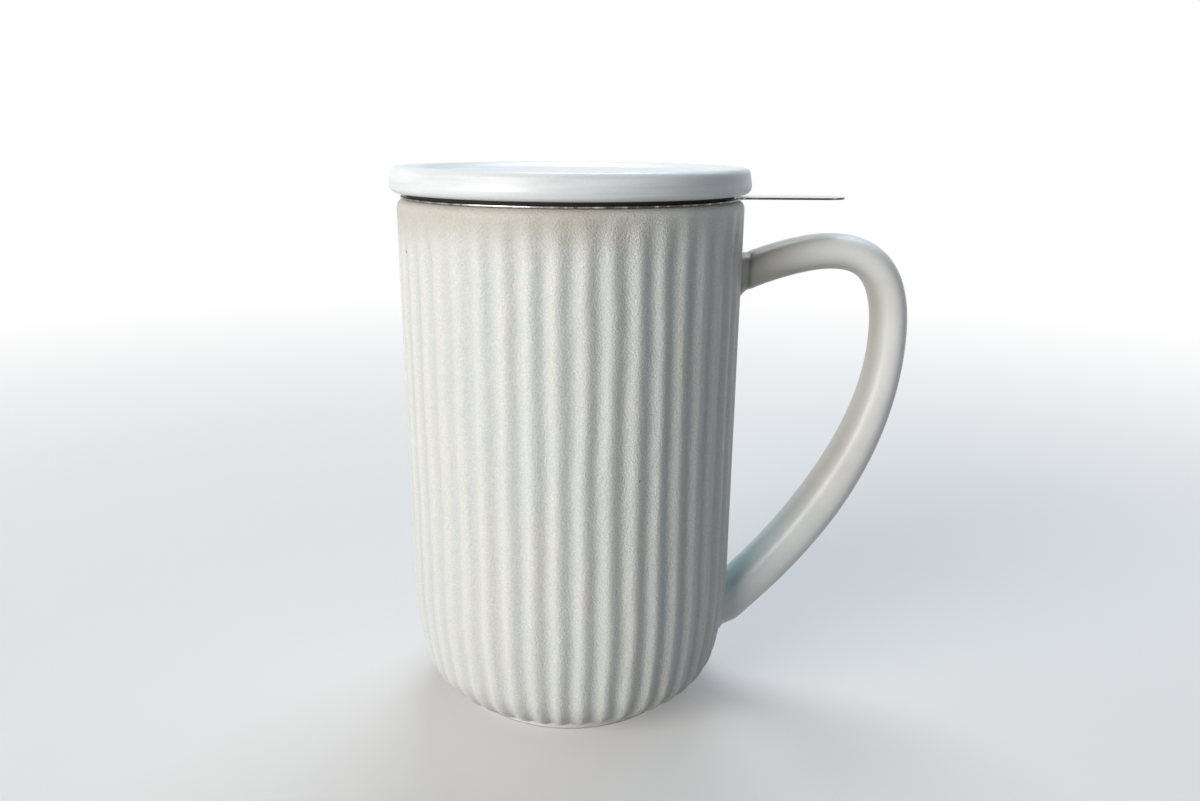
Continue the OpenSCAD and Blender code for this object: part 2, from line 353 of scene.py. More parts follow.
bodyGlaze = {
    "colour": (0.80, 0.80, 0.765, 1),
    "cloud": (0.835, 0.825, 0.785, 1),
    "cloudScale": 38,
    "pooledAndShade": (0.67, 0.685, 0.665, 1),  # thicker glaze in the valleys, with painted shade there
    "poolingAndShade": 0.8,
    "thinAndShade": (0.56, 0.52, 0.445, 1),  # painted warm shade under the lid, where the glaze also runs thin at the rim
    "thinAndShadeHeights": (0.1135, 0.1245),  # m
    "thinAndShadeAcross": (0.026, 0.002),  # m, from the handle's side to the other
    "thinAndShadeLeast": 0.12,
    "speckleScale": 2600,
    "speckle": (0.865, 1.08),
    "pinhole": (0.22, 0.19, 0.15, 1),
    "pinholeScale": 62,
    "pinholeSize": 0.012,
    "pinholeFrom": 0.62,  # the least random value of a cell that has one
    "pinholeTint": 0.75,
    "pinholeDepth": 1.5,
    "bisque": (0.50, 0.47, 0.41, 1),
    "bisqueHeights": (0.0003, 0.0005),  # m
    "bisqueRoughness": 0.85,
    "roughness": 0.42,
    "specular": 0.35,
    "peelScale": 2300,
    "peelHeight": 0.00039,
    "peelStrength": 0.6,
    "waveScale": 210,
    "waveShare": 0.9,
}


def buildBodyGlaze(s):
    material, tree, surface = newMaterial("satinGlaze")
    place, across, _, height, _ = objectPlace(tree)

    # slow drifts of tone, and glaze that pools in the valleys, darkened further as painted shade
    cloud = noise(tree, place, s["cloudScale"], 3)
    tone = mixColour(tree, mapRange(tree, cloud, 0.35, 0.7), s["colour"], s["cloud"])
    poolingAndShade = mapRange(tree, marked(tree, "valley"), 0.25, 1, 0, s["poolingAndShade"])
    tone = mixColour(tree, poolingAndShade, tone, s["pooledAndShade"])

    # painted warm shade under the rim, where the glaze also runs thin, mostly on the side away from the
    # handle
    thinAndShade = mapRange(tree, height, *s["thinAndShadeHeights"], kind="SMOOTHSTEP")
    side = mapRange(tree, across, *s["thinAndShadeAcross"], s["thinAndShadeLeast"], kind="SMOOTHSTEP")
    thinAndShade = times(tree, times(tree, thinAndShade, side), mapRange(tree, cloud, 0.3, 0.65, 0.6))
    tone = mixColour(tree, thinAndShade, tone, s["thinAndShade"])

    # fine speckle and a few pinholes
    speckle = noise(tree, place, s["speckleScale"], 2, 0.7)
    tone = scaleColour(tree, tone, mapRange(tree, speckle, 0.3, 0.75, *s["speckle"]))
    cells = addNode(tree, "ShaderNodeTexVoronoi", {"Vector": place, "Scale": s["pinholeScale"]}).outputs
    near = mapRange(tree, cells["Distance"], s["pinholeSize"], s["pinholeSize"] * 1.8, 1, 0)
    chosen = addNode(tree, "ShaderNodeSeparateColor", {0: cells["Color"]}).outputs[0]
    pinhole = times(tree, near, calc(tree, "GREATER_THAN", chosen, s["pinholeFrom"]))
    tone = mixColour(tree, times(tree, pinhole, s["pinholeTint"]), tone, s["pinhole"])

    # the standing ring is wiped bare of glaze
    bareClayAndShade = mapRange(tree, height, *s["bisqueHeights"], 1, 0)
    tone = mixColour(tree, bareClayAndShade, tone, s["bisque"])
    gloss = mapRange(tree, cloud, 0.3, 0.75, s["roughness"] - 0.05, s["roughness"] + 0.06)
    rough = addNode(tree, "ShaderNodeMix", {0: bareClayAndShade, 2: gloss, 3: s["bisqueRoughness"]}).outputs[0]

    # orange peel under the glaze, with the pinholes sunk in
    relief = plus(tree, noise(tree, place, s["peelScale"], 2.5, 0.55),
                  times(tree, noise(tree, place, s["waveScale"], 1), s["waveShare"]))
    relief = minus(tree, relief, times(tree, pinhole, s["pinholeDepth"]))
    roughen(tree, surface, relief, s["peelHeight"], s["peelStrength"])
    feed(tree, surface, {"Base Color": tone, "Roughness": rough, "Specular IOR Level": s["specular"]})
    return material


smoothGlaze = {
    "cloudScale": 55,
    "turnHeights": (0.034, 0.054),  # m, where the colour of pooled glaze and painted shade turns from deepPoolAndShade to highPoolAndShade
    # the joint's groove line, and painted shade in the crease beside the wall at the upper root
    "jointAndShade": (0.20, 0.17, 0.13, 1),
    # bare clay on the lid's seat, painted near black as shade
    "bareClayAndShade": (0.1, 0.09, 0.08, 1),
    "seat": (0.126, 0.00075, 0.00095),  # m, height of the bare seat, painted near black as shade, and how far above it the glaze begins
    "speckleScale": 1900,
    "streakTurn": 40,
    "streakHeight": 620,
    "streakRadius": 400,
    "streakRelief": 0.22,
    "waveScale": 170,
    "fineScale": 1300,
    "fineShare": 0.16,
    "bumpStrength": 0.5,
    "specular": 0.42,
    "coatRoughness": 0.28,
}
handleFinish = {
    **smoothGlaze,
    # whiter than the body's glaze, partly as painted light
    "colour": (0.87, 0.865, 0.84, 1),
    # pooled glaze and painted shade, below and above; the painted shade lies over the upper root and along
    # the inner side
    "deepPoolAndShade": (0.52, 0.64, 0.65, 1),
    "highPoolAndShade": (0.54, 0.515, 0.46, 1),
    "roughness": 0.40,
    "waviness": 0.0002,
    "streaks": 0.0,
    "coat": 0.3,
    "seatShadeFrom": 1.0,
}
lidFinish = {
    **smoothGlaze,
    "colour": (0.865, 0.88, 0.885, 1),
    "deepPoolAndShade": (0.79, 0.83, 0.85, 1),
    "highPoolAndShade": (0.79, 0.83, 0.85, 1),
    "roughness": 0.36,
    "waviness": 0.00009,
    "streaks": 1.5,
    "coat": 0.04,
    "seatShadeFrom": 0.036,
}


def buildSmoothGlaze(name, s):
    material, tree, surface = newMaterial(name)
    place, x, y, z, radius = objectPlace(tree)
    cloud = noise(tree, place, s["cloudScale"], 3)
    # pooled glaze and painted shade: warm over the upper root, where the glaze also runs thin, and blue-green
    # where it pools in the lower one
    depth = plus(tree, mapRange(tree, cloud, 0.4, 0.75, 0, 0.3), marked(tree, "pool"))
    pooledAndShade = mixColour(tree, mapRange(tree, z, *s["turnHeights"]), s["deepPoolAndShade"], s["highPoolAndShade"])
    tone = mixColour(tree, calc(tree, "MINIMUM", depth, 1.0), s["colour"], pooledAndShade)
    tone = mixColour(tree, marked(tree, "groove"), tone, s["jointAndShade"])

    # the glaze flows in low waves, with faint wipe marks round the lid
    lines = joinXYZ(tree, times(tree, x, s["streakTurn"]), times(tree, y, s["streakTurn"]),
                    calc(tree, "MULTIPLY_ADD", z, s["streakHeight"], times(tree, radius, s["streakRadius"])))
    streak = noise(tree, lines, 1, 3)
    speckle = noise(tree, place, s["speckleScale"], 2)
    grey = times(tree, mapRange(tree, speckle, 0.3, 0.75, 0.975, 1.015),
                 mapRange(tree, streak, 0.3, 0.7, 1 - 0.08 * s["streaks"], 1 + 0.04 * s["streaks"]))
    tone = scaleColour(tree, tone, grey)

    # where the lid rests on the steel its clay is bare, and painted near black as the shade in the gap under
    # the lid
    seat, glazeFrom, glazeTo = s["seat"]
    seatShade = times(tree, calc(tree, "GREATER_THAN", z, seat - 0.0001),
                   mapRange(tree, z, seat + glazeFrom, seat + glazeTo, 1, 0))
    seatShade = times(tree, seatShade, calc(tree, "GREATER_THAN", radius, s["seatShadeFrom"]))
    tone = mixColour(tree, seatShade, tone, s["bareClayAndShade"])

    relief = plus(tree, noise(tree, place, s["waveScale"], 2),
                  times(tree, noise(tree, place, s["fineScale"], 1), s["fineShare"]))
    relief = plus(tree, relief, times(tree, streak, s["streakRelief"] * s["streaks"]))
    roughen(tree, surface, relief, s["waviness"], s["bumpStrength"])
    rough = mapRange(tree, cloud, 0.3, 0.75, s["roughness"] - 0.04, s["roughness"] + 0.05)
    feed(tree, surface, {"Base Color": tone, "Roughness": rough, "Specular IOR Level": s["specular"],
                         "Coat Weight": s["coat"], "Coat Roughness": s["coatRoughness"]})
    return material


steelFinish = {
    "smearScale": 90,
    "smearShade": 0.86,
    "grainScale": 1.6,
    "grainTurn": 60,
    "grainHeight": 0.00002,
    "grainStrength": 0.35,
    # painted dark reflection on the dull cut edge
    "cut": (0.07, 0.068, 0.065, 1),
    "glintScale": 16.0,
    "glintAt": -1.95,  # radians round the axis, where the painted dark of the cut edge gives way most to glints
    "glintReach": (0.2, 0.8),
    "glintMore": 0.15,
}
rimFinish = {**steelFinish, "colour": (0.55, 0.55, 0.54, 1), "roughness": 0.2, "lines": 2600}
basketFinish = {**steelFinish, "colour": (0.52, 0.52, 0.51, 1), "roughness": 0.3, "lines": 1500}


def buildSteel(name, s):
    material, tree, surface = newMaterial(name)
    place, x, y, z, radius = objectPlace(tree)
    # spun and rolled sheet: fine lines run round the axis
    lines = joinXYZ(tree, calc(tree, "MULTIPLY_ADD", x, s["grainTurn"], times(tree, radius, s["lines"])),
                    times(tree, z, s["lines"]), times(tree, y, s["grainTurn"]))
    grain = noise(tree, lines, s["grainScale"], 4)
    smear = noise(tree, place, s["smearScale"], 3)
    shade = tuple(c * s["smearShade"] for c in s["colour"][:3]) + (1,)
    tone = mixColour(tree, mapRange(tree, smear, 0.3, 0.7), s["colour"], shade)

    # the cut edge is dull and painted dark as a dark reflection, with a few bright lengths where it gives way
    # to the steel's glints
    turned = calc(tree, "ARCTAN2", y, x)
    glint = noise(tree, joinXYZ(tree, times(tree, turned, s["glintScale"])), 1, 4, 0.7)
    fromGlint = calc(tree, "ABSOLUTE", minus(tree, turned, s["glintAt"]))
    glint = plus(tree, glint, mapRange(tree, fromGlint, *s["glintReach"], s["glintMore"], 0))
    paintedDarkEdge = times(tree, marked(tree, "cut"), mapRange(tree, glint, 0.50, 0.68, 1, 0.15))
    tone = mixColour(tree, paintedDarkEdge, tone, s["cut"])

    rough = plus(tree, mapRange(tree, grain, 0.3, 0.7, s["roughness"] - 0.05, s["roughness"] + 0.08),
                 mapRange(tree, smear, 0.4, 0.75, 0, 0.07))
    roughen(tree, surface, grain, s["grainHeight"], s["grainStrength"])
    feed(tree, surface, {"Base Color": tone, "Roughness": rough, "Metallic": 1.0})
    return material


satinGlaze = buildBodyGlaze(bodyGlaze)
handleGlaze = buildSmoothGlaze("handleGlaze", handleFinish)
lidGlaze = buildSmoothGlaze("lidGlaze", lidFinish)
rimSteel = buildSteel("rimSteel", rimFinish)
basketSteel = buildSteel("basketSteel", basketFinish)
print("materials built")


# mug body: a lathe path whose flutes are pressed in by nodes

mugSizes = {
    "rimRadius": 41.0,
    "height": 125.5,
    "wall": 3.8,
    "floor": 4.3,
    "floorReach": 14,
    "sideDraft": 0.46,  # degrees
    "sideFrom": 34.0,
    "bellyRadius": 108.0,
    "baseRadius": 14.4,
    "baseSlope": 72.3,  # degrees
    "rimRound": 2.2,
    "lipRound": 1.0,
    "footHeight": 2.2,
    "footWidth": 3.0,
    "footStep": 1.1,
    "footRounds": (0.8, 0.7, 0.35),  # in the recess, inside and outside the ring
    "flutes": 44,
    "pointsPerFlute": 12,
    "fluteDepth": 0.7,
    "fluteFootDepth": 1.0,
    "flutePhase": 1.65,  # degrees
    "band": 0.7,
    "runout": 12.0,
    "runoutPower": 1.5,
    "footBlend": 13.0,  # height by which the foot no longer changes the flutes
    "patchHalfAngle": 11.7,  # degrees, plain patch behind each root of the handle
    "patchBlend": 5.0,
    "upperPatch": 102.9,
    "lowerPatch": 33.4,
    "patchMargin": 6.0,
    "wander": 2.0,  # degrees, full swing of the noise by which the flutes wander
    "wanderScale": 3.2,
    "unevenScale": 9.0,
    "shallowest": 0.86,
    "noiseHeight": 14.0,
    "sideStep": 2.0,  # between the rows outside, which start at "sideFrom"
    "fineDrop": 13.5,  # under the rim, where they come closer together for the flutes' run-out
    "fineStep": 0.8,
    "fineRows": 14,
    "hollowDrop": 9.5,  # under the rim, the first row inside
    "hollowStep": 8.0,
}


def sideRadius(s, z):
    return s["rimRadius"] - (s["height"] - z) * math.tan(math.radians(s["sideDraft"]))


def mugCurves(s):
    draft = math.radians(s["sideDraft"])
    belly = (sideRadius(s, s["sideFrom"]) - s["bellyRadius"] * math.cos(draft),
             s["sideFrom"] + s["bellyRadius"] * math.sin(draft))
    rise = s["footHeight"] + s["baseRadius"] * math.sin(math.radians(s["baseSlope"]))
    turn = math.degrees(math.asin((belly[1] - rise) / (s["bellyRadius"] - s["baseRadius"])))
    base = arcPoint(belly, s["bellyRadius"] - s["baseRadius"], turn)
    return belly, base, turn


def wallRadius(s, z):
    # outer radius of the plain wall at any height
    belly, base, turn = mugCurves(s)
    if z >= s["sideFrom"]:
        return sideRadius(s, z)
    if z >= arcPoint(belly, s["bellyRadius"], turn)[1]:
        return belly[0] + math.sqrt(s["bellyRadius"] ** 2 - (z - belly[1]) ** 2)
    return base[0] + math.sqrt(max(0.0, s["baseRadius"] ** 2 - (z - base[1]) ** 2))


def mugPath(s):
    belly, base, turn = mugCurves(s)
    skirt = arcPoint(base, s["baseRadius"], s["baseSlope"])
    foot = skirt[0] - s["footStep"]
    inner = foot - s["footWidth"]
    recessRound, innerRound, footRound = s["footRounds"]
    under = spread(softPath([
        (0, s["footHeight"], 0), (inner, s["footHeight"], recessRound), (inner, 0, innerRound),
        (foot, 0, footRound), (foot, s["footHeight"], footRound), (skirt[0] - 0.3, s["footHeight"], 0),
    ], 5), 6)
    low = arcRun(base, s["baseRadius"], s["baseSlope"] - 1.5, turn, 26)
    slow = arcRun(belly, s["bellyRadius"], turn, s["sideDraft"], 12)[1:]
    fineFrom, hollowFrom = s["height"] - s["fineDrop"], s["height"] - s["hollowDrop"]
    coarse = round((fineFrom - s["sideFrom"]) / s["sideStep"])
    heights = [s["sideFrom"] + s["sideStep"] * k for k in range(1, coarse)]
    heights += [fineFrom + s["fineStep"] * k for k in range(s["fineRows"])]
    side = [(sideRadius(s, z), z) for z in heights]
    top = s["height"] - s["rimRound"]
    rim = arcRun((sideRadius(s, top) - s["rimRound"], top), s["rimRound"], 0, -90, 9)
    outer = low + slow + side + rim
    inside = sideRadius(s, s["height"]) - s["wall"]
    lip = arcRun((inside + s["lipRound"], s["height"] - s["lipRound"]), s["lipRound"], 270, 180, 6)
    rows = math.ceil((hollowFrom - s["sideFrom"]) / s["hollowStep"])
    heights = [hollowFrom - s["hollowStep"] * k for k in range(rows)]
    drop = [(sideRadius(s, z) - s["wall"], z) for z in heights]
    hollow = arcRun(belly, s["bellyRadius"] - s["wall"], s["sideDraft"], turn, 8)
    floorZ = s["footHeight"] + s["floor"]
    flat = math.degrees(math.asin((base[1] - floorZ) / (s["baseRadius"] - s["wall"])))
    bowl = arcRun(base, s["baseRadius"] - s["wall"], turn, flat - 6, 12)[1:]
    end = arcPoint(base, s["baseRadius"] - s["wall"], flat)
    ground = [(end[0] - 1.2, floorZ + 0.08), (end[0] - 3, floorZ), (s["floorReach"], floorZ), (0, floorZ)]
    return under + outer + lip + drop + hollow + bowl + ground, len(under), len(under) + len(outer) - 1


def buildMugBody(s, material):
    path, first, last = mugPath(s)
    depths, patches = [0.0] * len(path), [0.0] * len(path)
    fluteTop = s["height"] - s["band"] - s["runout"]
    for i in range(first, last + 1):
        z = path[i][1]
        grown = smoothStep(z, s["footHeight"], s["footBlend"])
        depths[i] = s["fluteFootDepth"] + (s["fluteDepth"] - s["fluteFootDepth"]) * grown
        depths[i] *= 1 - max(0.0, min(1.0, (z - fluteTop) / s["runout"])) ** s["runoutPower"]
        depths[i] *= mm
        patches[i] = max(
            smoothStep(z, s["upperPatch"] - s["patchMargin"], s["upperPatch"]),
            smoothStep(z, s["footHeight"] + s["patchMargin"], s["footBlend"])
            * (1 - smoothStep(z, s["lowerPatch"], s["lowerPatch"] + s["patchMargin"])))
    piece = newPiece("mugShell", [(x, 0, z) for x, z in path], [])
    markPoints(piece, "flute", depths)
    markPoints(piece, "patch", patches)

    inputs = {
        "Around": ("Int", s["flutes"] * s["pointsPerFlute"]),
        "Flutes": ("Float", float(s["flutes"])),
        "Phase": ("Float", math.radians(s["flutePhase"])),
        "Wander": ("Float", math.radians(s["wander"])),
        "Patch Angle": ("Float", math.radians(s["patchHalfAngle"])),
        "Patch Blend": ("Float", math.radians(s["patchBlend"])),
        "Material": ("Material", material),
    }
    tree, given = newTree("flutedLathe", inputs)
    rows = addNode(tree, "GeometryNodeAttributeDomainSize", {0: given["Geometry"]}).outputs["Point Count"]
    grid, column, row = gridCells(tree, plus(tree, given["Around"], 1), rows)

    def fromPath(kind, field):
        return addNode(tree, "GeometryNodeSampleIndex",
                       {"Geometry": given["Geometry"], "Value": field.outputs[0], "Index": row},
                       data_type=kind).outputs["Value"]

    def fromMark(name):
        return fromPath("FLOAT", addNode(tree, "GeometryNodeInputNamedAttribute", {"Name": name}))

    pathX, _, pathZ = splitXYZ(tree, fromPath("FLOAT_VECTOR", addNode(tree, "GeometryNodeInputPosition")))
    angle = times(tree, calc(tree, "DIVIDE", column, given["Around"]), 2 * math.pi)
    angle = plus(tree, angle, given["Phase"])

    # low noise, the same at the seam, lets the flutes wander and vary in depth
    spot = joinXYZ(tree, calc(tree, "COSINE", angle), calc(tree, "SINE", angle),
                   times(tree, pathZ, s["noiseHeight"]))
    drift = minus(tree, noise(tree, spot, s["wanderScale"], 1), 0.5)
    uneven = mapRange(tree, noise(tree, spot, s["unevenScale"], 2), 0.3, 0.7, s["shallowest"], 1.0)
    turned = plus(tree, angle, times(tree, drift, given["Wander"]))
    turned = minus(tree, turned, given["Phase"])
    wave = calc(tree, "COSINE", times(tree, given["Flutes"], turned))
    wave = times(tree, calc(tree, "MULTIPLY_ADD", wave, 0.5, 0.5), uneven)

    # the flutes die away into the patches behind the handle's roots
    away = mapRange(tree, calc(tree, "PINGPONG", angle, math.pi), given["Patch Angle"],
                    plus(tree, given["Patch Angle"], given["Patch Blend"]), kind="SMOOTHSTEP")
    plain = times(tree, fromMark("patch"), minus(tree, 1.0, away))
    share = minus(tree, 1.0, plain)
    sunk = times(tree, times(tree, fromMark("flute"), share), wave)
    moved = aroundAxis(tree, minus(tree, pathX, sunk), angle, pathZ)
    valley = calc(tree, "DIVIDE", sunk, s["fluteDepth"] * mm)
    stored = addNode(tree, "GeometryNodeStoreNamedAttribute",
                     {"Geometry": grid, "Name": "valley", "Value": valley})
    spun = setPosition(tree, stored.outputs[0], moved)
    endTree(tree, mergeNear(tree, spun, 0.000002), given["Material"])
    bakeTree(piece, tree, inputs)
    placePiece(piece, "mug", "mug_body")


print("mug body")
buildMugBody(mugSizes, satinGlaze)


# handle: one rounded section swept along two curves

handleSizes = {
    "rootDrop": 17.8,
    "climb": 21.5,  # degrees
    "reach": 36.7,
    "bowDrop": 32.0,
    "footZ": 22.4,
    "slope": 42.6,  # degrees
    "entry": 24.0,  # degrees, slope at which the lower run enters the wall
    "lowest": 16.4,
    "arms": (21.7, 24.7, 29.7, 22.1),
    "upperThickness": 8.4,
    "lowerThickness": 11.0,
    "thickBy": 0.62,  # share of the lower run by which it has its full thickness
    "width": 12.8,
    "flare": 0.6,
    "flareInside": 4.0,
    "flareLength": 5.0,
    "bury": 4.0,
    "sunk": 1.4,  # how deep the ends lie in the wall
    "fillet": 1.3,
    "filletShare": 0.7,
    "sides": 56,
    "buried": 5,
    "rootSteps": 18,
    "rootStep": 0.0045,
    "steps": 40,
    "ease": 1.25,
    "chord": 2.2,  # the direction is taken over twice this length, so that the lower bend stays soft
    "grooveAt": 1.9,  # where the slip joint shows, from the wall
    "grooveWidth": 0.5,
    "grooveDepth": 0.22,
    "fullness": 0.85,
    # painted shade along the inner side, and pooled glaze with painted shade at the roots
    "innerShadePower": 1.6,
    "upperPoolAndShade": (-22.0, -0.2),
    "lowerPoolAndShade": (-6.0, -0.4),
}


def handleLine(s, mug):
    def bezier(p, t):
        return (p[0] * (1 - t) ** 3 + p[1] * 3 * t * (1 - t) ** 2
                + p[2] * 3 * t * t * (1 - t) + p[3] * t ** 3)

    def heading(degrees):
        a = math.radians(degrees)
        return Vector((math.cos(a), math.sin(a)))

    topZ = mug["height"] - s["rootDrop"]
    top = Vector((sideRadius(mug, topZ), topZ))
    low = Vector((sideRadius(mug, s["footZ"]), s["footZ"]))
    bow = Vector((mug["rimRadius"] + s["reach"], mug["height"] - s["bowDrop"]))
    arms, buried, steps = s["arms"], s["buried"], s["steps"]
    upper = [top, top + heading(s["climb"]) * arms[0], bow + Vector((0, arms[1])), bow]
    lower = [bow, bow - Vector((0, arms[2])), low + heading(s["slope"]) * arms[3], low]
    rootEnd = s["rootStep"] * s["rootSteps"]
    line = [top - heading(s["climb"]) * s["bury"] * (1 - k / buried) for k in range(buried)]
    line += [bezier(upper, s["rootStep"] * k) for k in range(s["rootSteps"])]
    line += [bezier(upper, rootEnd + (1 - rootEnd) * k / steps) for k in range(steps)]
    middle = len(line)
    line += [bezier(lower, 1 - (1 - k / steps) ** s["ease"]) for k in range(steps + 1)]
    line += [low - heading(s["entry"]) * s["bury"] * (k / buried) for k in range(1, buried + 1)]
    return line, middle


def buildHandle(s, mug, material):
    line, middle = handleLine(s, mug)
    lengths = [0.0]
    for a, b in zip(line, line[1:]):
        lengths.append(lengths[-1] + (b - a).length)

    def pointAt(length):
        length = max(0.0, min(lengths[-1], length))
        k = max(i for i in range(len(line) - 1) if lengths[i] <= length)
        return line[k].lerp(line[k + 1], (length - lengths[k]) / (lengths[k + 1] - lengths[k]))

    rings, poolsAndShade, groovesAndShade = [], [], []
    for k, p in enumerate(line):
        ahead = (pointAt(lengths[k] + s["chord"]) - pointAt(lengths[k] - s["chord"])).normalized()
        along = max(0.0, min(1.0, (k - middle) / s["steps"]))
        grown = smoothStep(1 - (1 - along) ** s["ease"], 0.0, s["thickBy"])
        thick = s["upperThickness"] + (s["lowerThickness"] - s["upperThickness"]) * grown
        flareFrom, flareTo = mug["rimRadius"] - s["flareInside"], mug["rimRadius"] + s["flareLength"]
        flare = s["flare"] * (1 - smoothStep(p.x, flareFrom, flareTo))
        ring = []
        for j in range(s["sides"]):
            a = -2 * math.pi * j / s["sides"]
            full = [math.copysign(abs(c) ** s["fullness"], c) for c in (math.cos(a), math.sin(a))]
            u = (thick + flare) / 2 * full[0]
            w = (s["width"] + flare) / 2 * full[1]
            point = Vector((p.x - ahead.y * u, w, p.y + ahead.x * u))
            # a slip fillet where the sweep meets the wall, and a groove beside the upper one
            gap = math.hypot(point.x, point.y) - wallRadius(mug, point.z)
            outward = Vector((-ahead.y * u, w, ahead.x * u)).normalized()
            groove = math.exp(-((gap - s["grooveAt"]) / s["grooveWidth"]) ** 2) if k < middle else 0.0
            point -= outward * groove * s["grooveDepth"]
            if gap < s["fillet"]:
                inset = s["fillet"] - max(gap, 0.0)
                grow = s["fillet"] - math.sqrt(max(0.0, s["fillet"] ** 2 - inset ** 2))
                point += outward * grow * s["filletShare"]
            # what lies deeper in the wall stays just under its skin
            deepest = wallRadius(mug, point.z) - s["sunk"]
            reach = math.hypot(point.x, point.y)
            if reach < deepest:
                point.x *= deepest / reach
                point.y *= deepest / reach
                point.z = max(point.z, s["lowest"])
            ring.append(tuple(point))
            # glaze pools in the lower root, and shade is painted over the upper root and along the inner side
            inner = max(0.0, -full[0])
            if k < middle:
                pool = smoothStep(-gap, *s["upperPoolAndShade"])
                # the groove's line, and painted shade in the crease next to the wall
                groovesAndShade.append(min(1.0, 0.8 * groove + 0.4 * smoothStep(-gap, -s["grooveAt"], -0.3)))
            else:
                pool = smoothStep(-gap, *s["lowerPoolAndShade"]) * (0.12 + 0.7 * inner)
                groovesAndShade.append(0.0)
            poolsAndShade.append(min(1.0, pool + inner ** s["innerShadePower"]))
        rings.append(ring)
    points, faces = closedRings(rings)
    for ring, flip in ((0, False), (len(rings) - 1, True)):
        points.append(tuple(sum((Vector(p) for p in rings[ring]), Vector()) / s["sides"]))
        poolsAndShade.append(1.0)
        groovesAndShade.append(0.0)
        hub = len(points) - 1
        for j in range(s["sides"]):
            a, b = ring * s["sides"] + j, ring * s["sides"] + (j + 1) % s["sides"]
            faces.append((hub, a, b) if flip else (hub, b, a))
    piece = newPiece("handleLoop", points, faces)
    markPoints(piece, "pool", poolsAndShade)
    markPoints(piece, "groove", groovesAndShade)
    faceOutward(piece)
    piece.data.materials.append(material)
    finishMesh(piece, 60)
    placePiece(piece, "mug", "mug_handle")


print("handle")
buildHandle(handleSizes, mugSizes, handleGlaze)


# infuser: pressed rim with its tab, perforated wall and perforated base

infuserSizes = {
    "seat": mugSizes["height"],
    "sheet": 0.5,
    "flangeRadius": 40.0,
    "basketRadius": 35.623,
    "bendRadius": 1.2,
    "collarEnd": mugSizes["height"] - 12.0,
    "collarRow": 4,  # above the collar's end
    "basketFoot": mugSizes["height"] - 84.0,
    "cornerRadius": 3.0,
    "lipWidth": 2.0,
    "bevel": 0.1,  # on the sheet's edges at the seam and the lip
    "baseGap": 0.1,
    "baseRound": 0.12,
    "baseAround": 96,
    "tabLength": 25.0,
    "tabWidth": 10.0,
    "tabFillet": 4.0,
    "outlineSteps": (12, 8, 10, 100),  # tip, side, fillet and flange, on one side of the tab
    "edge": 0.16,
    "edgeRow": 1.0,  # inside the flange's edge
    "cutShare": 0.7,  # share of the edge's rounding that is marked as cut
    "plainAbove": 2.0,
    "holesRound": 96,
    "holeRows": 32,
    "hole": 1.15,
    "baseGrid": 31,
    "baseHolePitch": 2.33,
    "punchDepth": 4.0,
}


def tabOutline(s):
    # the flange's edge with its tab, as points and the direction in which each edge point faces
    tip = s["tabWidth"] / 2
    filletY = tip + s["tabFillet"]
    filletX = math.sqrt((s["flangeRadius"] + s["tabFillet"]) ** 2 - filletY ** 2)
    tipX = s["flangeRadius"] + s["tabLength"] - tip
    start = math.atan2(filletY, filletX)
    tipSteps, sideSteps, filletSteps, flangeSteps = s["outlineSteps"]
    half = []

    def addOnArc(x, y, radius, angle, facing=1):
        # facing is -1 round a hollow
        u, v = math.cos(angle), math.sin(angle)
        half.append(((x + radius * u, y + radius * v), (u * facing, v * facing)))

    for k in range(tipSteps + 1):
        addOnArc(tipX, 0, tip, math.pi / 2 * k / tipSteps)
    for k in range(1, sideSteps):
        half.append(((tipX + (filletX - tipX) * k / sideSteps, tip), (0, 1)))
    for k in range(filletSteps + 1):
        angle = -math.pi / 2 + (start - math.pi / 2) * k / filletSteps
        addOnArc(filletX, filletY, s["tabFillet"], angle, -1)
    for k in range(1, flangeSteps + 1):
        addOnArc(0, 0, s["flangeRadius"], start + (math.pi - start) * k / flangeSteps)
    mirrored = [((x, -y), (u, -v)) for (x, y), (u, v) in reversed(half[1:-1])]
    return half + mirrored


def buildInfuserRim(s, material):
    outline = tabOutline(s)
    seat, top, end = s["seat"], s["seat"] + s["sheet"], s["collarEnd"]
    outer, inner = s["basketRadius"], s["basketRadius"] - s["sheet"]
    edge, bevel, row = s["edge"], s["bevel"], s["collarRow"]
    bend = (outer + s["bendRadius"], seat - s["bendRadius"])
    # closed section: up the collar's inside, over the flange, round its edge and back down
    section = [("round", inner, end + bevel), ("round", inner, end + row)]
    section += [("round", x, z) for x, z in arcRun(bend, s["bendRadius"] + s["sheet"], 180, 270, 8)]
    section += [("edge", s["edgeRow"], top)]
    turns = [math.pi / 2 * k / 3 for k in range(4)]
    section += [("edge", edge - edge * math.sin(a), top - edge + edge * math.cos(a)) for a in turns]
    section += [("edge", edge - edge * math.cos(a), seat + edge - edge * math.sin(a)) for a in turns]
    section += [("edge", s["edgeRow"], seat)]
    section += [("round", x, z) for x, z in arcRun(bend, s["bendRadius"], 270, 180, 8)]
    section += [("round", outer, end + row), ("round", outer, end + bevel),
                ("round", outer - bevel, end), ("round", inner + bevel, end)]
    rings, cuts = [], []
    for kind, value, z in section:
        ring = []
        cuts += [float(kind == "edge" and value < edge * s["cutShare"])] * len(outline)
        for (x, y), (u, v) in outline:
            if kind == "round":
                a = math.atan2(y, x)
                ring.append((value * math.cos(a), value * math.sin(a), z))
            else:
                ring.append((x - u * value, y - v * value, z))
        rings.append(ring)
    rings.append(rings[0])
    points, faces = closedRings(rings)
    piece = newPiece("infuserRim", points, faces)
    markPoints(piece, "cut", cuts + cuts[:len(outline)])
    faceOutward(piece, 0.000001)
    piece.data.materials.append(material)
    finishMesh(piece, 50)
    placePiece(piece, "infuser", "infuser_rim")


